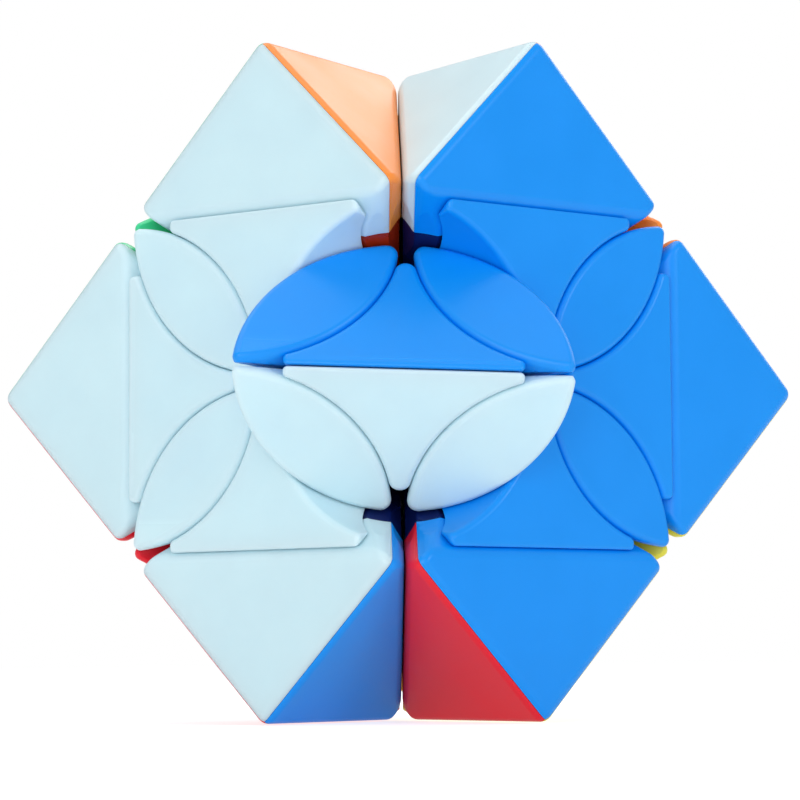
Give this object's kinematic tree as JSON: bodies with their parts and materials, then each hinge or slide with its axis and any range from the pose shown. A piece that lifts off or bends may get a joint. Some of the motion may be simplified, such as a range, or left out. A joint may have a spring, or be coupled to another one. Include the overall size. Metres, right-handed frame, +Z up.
{
  "type": "twisty puzzle",
  "caption": "Cube-type twisty puzzle with leaf-shaped pieces, stored half turned so it reads as a twelve-faced block; its discs turn.",
  "frame": {"origin": "centre of the core, where the axes of the halves and of all discs cross", "axes": "+X along the diagonal the right half turns about, -Y along the front disc's axis, +Z up"},
  "size_m": [0.1024, 0.0849, 0.0836],
  "materials": {
    "white": "satin moulded ABS",
    "blue": "satin moulded ABS",
    "orange": "satin moulded ABS",
    "red": "satin moulded ABS",
    "green": "satin moulded ABS",
    "yellow": "satin moulded ABS",
    "inner": "dark moulded nylon-type plastic",
    "steel": "zinc-plated"
  },
  "bodies": {
    "left_half": {"cap_blue_l2": "blue", "cap_yellow_l3": "yellow", "cap_orange_l1": "orange", "cap_green_l0": "green", "cap_green_l1": "green", "cap_green_l3": "green", "petals_green": "green", "triangles_green": "green", "cap_white_l0": "white", "cap_white_l1": "white", "cap_white_l2": "white", "petals_white": "white", "triangles_white": "white", "cap_red_l0": "red", "cap_red_l2": "red", "cap_red_l3": "red", "petals_red": "red", "triangles_red": "red", "feet_left": "inner", "face_bases_left": "inner", "core": "inner", "screws": "steel", "springs_left": "steel", "washers_left": "steel"},
    "right_half": {"cap_blue_r0": "blue", "cap_blue_r1": "blue", "cap_blue_r2": "blue", "petals_blue": "blue", "triangles_blue": "blue", "cap_yellow_r0": "yellow", "cap_yellow_r2": "yellow", "cap_yellow_r3": "yellow", "petals_yellow": "yellow", "triangles_yellow": "yellow", "cap_orange_r0": "orange", "cap_orange_r1": "orange", "cap_orange_r3": "orange", "petals_orange": "orange", "triangles_orange": "orange", "cap_green_r3": "green", "cap_white_r1": "white", "cap_red_r2": "red", "feet_right": "inner", "face_bases_right": "inner", "spring_right": "steel", "washer_right": "steel"},
    "front_disc": {"front_petal_white_upper": "white", "front_petal_white_lower": "white", "front_disc_triangle_white": "white", "front_petal_blue_upper": "blue", "front_petal_blue_lower": "blue", "front_disc_triangle_blue": "blue"},
    "rear_top_disc": {"rear_top_disc_petals_green": "green", "rear_top_disc_triangle_green": "green", "rear_top_disc_petals_orange": "orange", "rear_top_disc_triangle_orange": "orange"},
    "rear_bottom_disc": {"rear_bottom_disc_petals_red": "red", "rear_bottom_disc_triangle_red": "red", "rear_bottom_disc_petals_yellow": "yellow", "rear_bottom_disc_triangle_yellow": "yellow"}
  },
  "joints": [
    {"name": "right_half_turn", "type": "hinge", "parent": "left_half", "child": "right_half", "pos_m": [0, 0, 0], "axis": [1, 0, 0], "range_deg": [-0.4, 0.4]},
    {"name": "front_disc_turn", "type": "hinge", "parent": "left_half", "child": "front_disc", "pos_m": [0, -0.03, 0], "axis": [0, -1, 0], "continuous": true},
    {"name": "rear_top_disc_turn", "type": "hinge", "parent": "left_half", "child": "rear_top_disc", "pos_m": [0, 0.015, 0.02598], "axis": [0, 0.5, 0.866], "continuous": true},
    {"name": "rear_bottom_disc_turn", "type": "hinge", "parent": "left_half", "child": "rear_bottom_disc", "pos_m": [0, 0.015, -0.02598], "axis": [0, 0.5, -0.866], "continuous": true}
  ]
}
